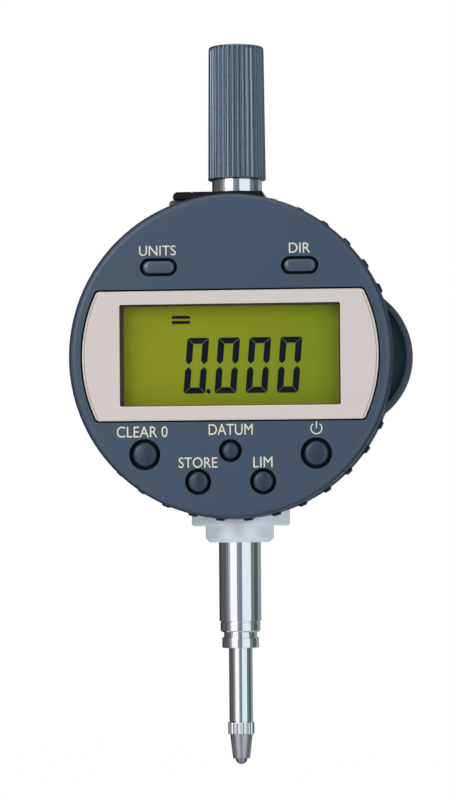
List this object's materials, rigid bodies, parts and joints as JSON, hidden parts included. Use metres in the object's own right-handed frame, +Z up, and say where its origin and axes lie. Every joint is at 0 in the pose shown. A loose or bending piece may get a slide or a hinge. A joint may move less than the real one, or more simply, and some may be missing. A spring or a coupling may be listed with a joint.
{
  "type": "digital indicator",
  "caption": "Round electronic plunger indicator with a turning display head, keypad, cell tray, clamping stem, sprung spindle, ball contact point and fluted cap.",
  "frame": {"origin": "on the spindle axis at the underside of the collar, where the clamping stem begins", "axes": "+Z up the spindle towards the cap, -Y out of the display towards the viewer, +X to the viewer's right"},
  "size_m": [0.0638, 0.028, 0.1367],
  "materials": {
    "case_silver": "satin die-cast",
    "stem_steel": "polished",
    "bush_brass": "machined",
    "upper_bush_steel": "polished",
    "ring_nut_steel": "polished",
    "felt": "felt",
    "port_plastic": "fine grain",
    "socket_plastic": "plain",
    "top_plate_plastic": "glossy",
    "cover_rubber": "smooth",
    "back_plate_metal": "fine texture",
    "gasket_rubber": "plain",
    "screw_steel": "machined",
    "rail_steel": "ground",
    "board_green": "solder mask",
    "chip_black": "moulded",
    "post_steel": "turned",
    "spring_steel": "drawn wire",
    "bumper_rubber": "plain",
    "glide_plastic": "smooth",
    "retaining_steel": "ground",
    "retaining_screw_steel": "machined",
    "flex_amber": "film",
    "spindle_steel": "polished",
    "carrier_plastic": "plain",
    "carrier_screw_steel": "machined",
    "scale_laminate": "printed",
    "pin_steel": "ground",
    "contact_metal": "matt sintered",
    "ball_carbide": "polished",
    "cap_plastic": "fine grain",
    "housing_plastic": "fine grain",
    "grip_plastic": "fine grain",
    "display_back_plastic": "plain",
    "display_screw_steel": "machined",
    "stop_pin_steel": "ground",
    "frame_beige": "satin",
    "lens_clear": "polished",
    "lcd_frame_plastic": "plain",
    "lcd_glass": "satin film",
    "connector_rubber": "striped",
    "main_board_green": "solder mask",
    "board_chip_black": "moulded",
    "dome_steel": "pressed",
    "mat_rubber": "smooth",
    "contact_strip_steel": "pressed",
    "key_rubber_unit": "smooth",
    "key_rubber_sign": "smooth",
    "key_rubber_zero": "smooth",
    "key_rubber_reference": "smooth",
    "key_rubber_power": "smooth",
    "key_rubber_mode": "smooth",
    "key_rubber_limit": "smooth",
    "tray_plastic": "fine grain",
    "cell_steel": "plated"
  },
  "bodies": {
    "case": {"case_casting": "case_silver", "stem": "stem_steel", "lower_bush": "bush_brass", "upper_bush": "upper_bush_steel", "ring_nut": "ring_nut_steel", "dust_wiper": "felt", "port_housing": "port_plastic", "data_socket": "socket_plastic", "top_plate": "top_plate_plastic", "back_plate": "back_plate_metal", "back_gasket": "gasket_rubber", "back_screws": "screw_steel", "guide_rail": "rail_steel", "detector_board": "board_green", "sensor_chip": "chip_black", "spring_post": "post_steel", "return_spring": "spring_steel", "stop_bumper": "bumper_rubber", "glide_ring": "glide_plastic", "retaining_ring": "retaining_steel", "retaining_screws": "retaining_screw_steel", "flex_cable": "flex_amber"},
    "spindle": {"spindle_rod": "spindle_steel", "scale_carrier": "carrier_plastic", "carrier_screw": "carrier_screw_steel", "scale_strip": "scale_laminate", "guide_pin": "pin_steel", "contact_point": "contact_metal", "contact_ball": "ball_carbide"},
    "cap": {"spindle_cap": "cap_plastic"},
    "port_cover": {"port_cover": "cover_rubber"},
    "display": {"front_housing": "housing_plastic", "grip_ring": "grip_plastic", "display_back": "display_back_plastic", "display_screws": "display_screw_steel", "stop_pin": "stop_pin_steel", "window_frame": "frame_beige", "window_lens": "lens_clear", "lcd_frame": "lcd_frame_plastic", "lcd_panel": "lcd_glass", "lcd_connectors": "connector_rubber", "main_board": "main_board_green", "board_chip": "board_chip_black", "key_domes": "dome_steel", "key_mat": "mat_rubber", "cell_contacts": "contact_strip_steel"},
    "cell_tray": {"cell_tray": "tray_plastic", "coin_cell": "cell_steel"},
    "key_unit": {"key_unit": "key_rubber_unit"},
    "key_sign": {"key_sign": "key_rubber_sign"},
    "key_zero": {"key_zero": "key_rubber_zero"},
    "key_reference": {"key_reference": "key_rubber_reference"},
    "key_power": {"key_power": "key_rubber_power"},
    "key_mode": {"key_mode": "key_rubber_mode"},
    "key_limit": {"key_limit": "key_rubber_limit"}
  },
  "joints": [
    {"name": "spindle_slide", "type": "slide", "parent": "case", "child": "spindle", "axis": [0, 0, 1], "range_m": [0, 0.0125], "stiffness_N_per_m": 25, "springref_m": -0.044, "deforming": ["return_spring"]},
    {"name": "display_turn", "type": "hinge", "parent": "case", "child": "display", "pos_m": [0, -0.012, 0.0345], "axis": [0, -1, 0], "range_deg": [-160, 160]},
    {"name": "cap_lift", "type": "slide", "parent": "case", "child": "cap", "axis": [0, 0, 1], "range_m": [0, 0.012]},
    {"name": "port_cover_pull", "type": "slide", "parent": "case", "child": "port_cover", "axis": [-1, 0, 0], "range_m": [0, 0.005]},
    {"name": "cell_tray_slide", "type": "slide", "parent": "display", "child": "cell_tray", "axis": [1, 0, 0], "range_m": [0, 0.0225]},
    {"name": "key_unit_press", "type": "slide", "parent": "display", "child": "key_unit", "axis": [0, 1, 0], "range_m": [0, 0.0004], "stiffness_N_per_m": 400, "springref_m": -0.0003},
    {"name": "key_sign_press", "type": "slide", "parent": "display", "child": "key_sign", "axis": [0, 1, 0], "range_m": [0, 0.0004], "stiffness_N_per_m": 400, "springref_m": -0.0003},
    {"name": "key_zero_press", "type": "slide", "parent": "display", "child": "key_zero", "axis": [0, 1, 0], "range_m": [0, 0.0004], "stiffness_N_per_m": 400, "springref_m": -0.0003},
    {"name": "key_reference_press", "type": "slide", "parent": "display", "child": "key_reference", "axis": [0, 1, 0], "range_m": [0, 0.0004], "stiffness_N_per_m": 400, "springref_m": -0.0003},
    {"name": "key_power_press", "type": "slide", "parent": "display", "child": "key_power", "axis": [0, 1, 0], "range_m": [0, 0.0004], "stiffness_N_per_m": 400, "springref_m": -0.0003},
    {"name": "key_mode_press", "type": "slide", "parent": "display", "child": "key_mode", "axis": [0, 1, 0], "range_m": [0, 0.0004], "stiffness_N_per_m": 400, "springref_m": -0.0003},
    {"name": "key_limit_press", "type": "slide", "parent": "display", "child": "key_limit", "axis": [0, 1, 0], "range_m": [0, 0.0004], "stiffness_N_per_m": 400, "springref_m": -0.0003}
  ]
}
